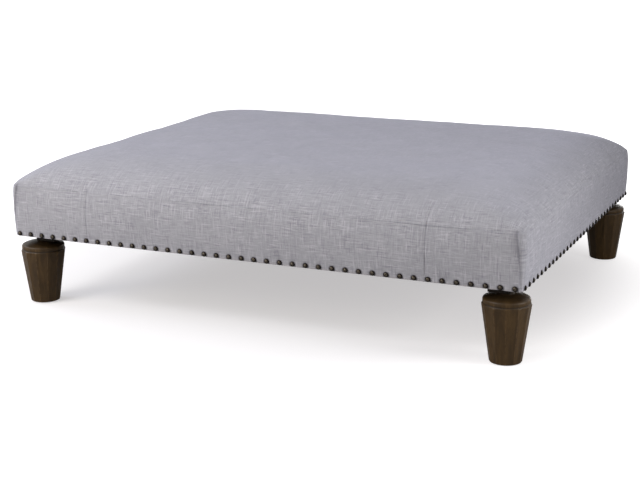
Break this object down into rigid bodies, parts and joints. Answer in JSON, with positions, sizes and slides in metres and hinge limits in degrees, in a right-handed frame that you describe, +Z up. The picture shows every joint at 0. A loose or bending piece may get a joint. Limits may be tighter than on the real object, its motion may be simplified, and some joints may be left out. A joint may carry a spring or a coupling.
{
  "type": "upholstered ottoman coffee table",
  "caption": "Low rectangular upholstered ottoman used as a coffee table: padded crowned top in grey linen, a row of nail heads round the bottom edge, short turned legs with flat facets.",
  "frame": {"origin": "centre of the footprint, on the floor that the glides stand on", "axes": "+X along the long side to the right as seen from the front, +Y from the front to the back, +Z up"},
  "size_m": [1.5358, 1.231, 0.4406],
  "materials": {
    "linen": "matte slubbed linen weave, cool grey",
    "fibre_wrap": "matte white polyester fibre",
    "foam": "matte open-cell foam",
    "frame_timber": "planed softwood, unfinished",
    "plywood": "sanded plywood, unfinished",
    "dark_block": "stained dark, matte",
    "dark_walnut": "dark walnut stain under satin lacquer",
    "nail_bronze": "aged dark bronze, satin",
    "fastener_steel": "zinc plated",
    "glide_plastic": "matte moulded",
    "black_cloth": "matte thin woven cloth"
  },
  "bodies": {
    "root": {"batting": "fibre_wrap", "block_screws": "fastener_steel", "corner_block_back_left": "dark_block", "corner_block_back_right": "dark_block", "corner_block_front_left": "dark_block", "corner_block_front_right": "dark_block", "cover_centre": "linen", "cover_left_end": "linen", "cover_right_end": "linen", "cross_rail_1": "frame_timber", "cross_rail_2": "frame_timber", "cross_rail_3": "frame_timber", "cross_rail_screws": "fastener_steel", "deck": "plywood", "deck_screws": "fastener_steel", "dust_cover": "black_cloth", "dust_cover_staples": "fastener_steel", "foam_core": "foam", "frame_screws": "fastener_steel", "glides": "glide_plastic", "hanger_bolts": "fastener_steel", "hem_staples": "fastener_steel", "leg_back_left": "dark_walnut", "leg_back_right": "dark_walnut", "leg_front_left": "dark_walnut", "leg_front_right": "dark_walnut", "nails_back": "nail_bronze", "nails_front": "nail_bronze", "nails_left": "nail_bronze", "nails_right": "nail_bronze", "rail_back": "frame_timber", "rail_front": "frame_timber", "rail_left": "frame_timber", "rail_right": "frame_timber", "threaded_inserts": "fastener_steel"}
  },
  "joints": []
}
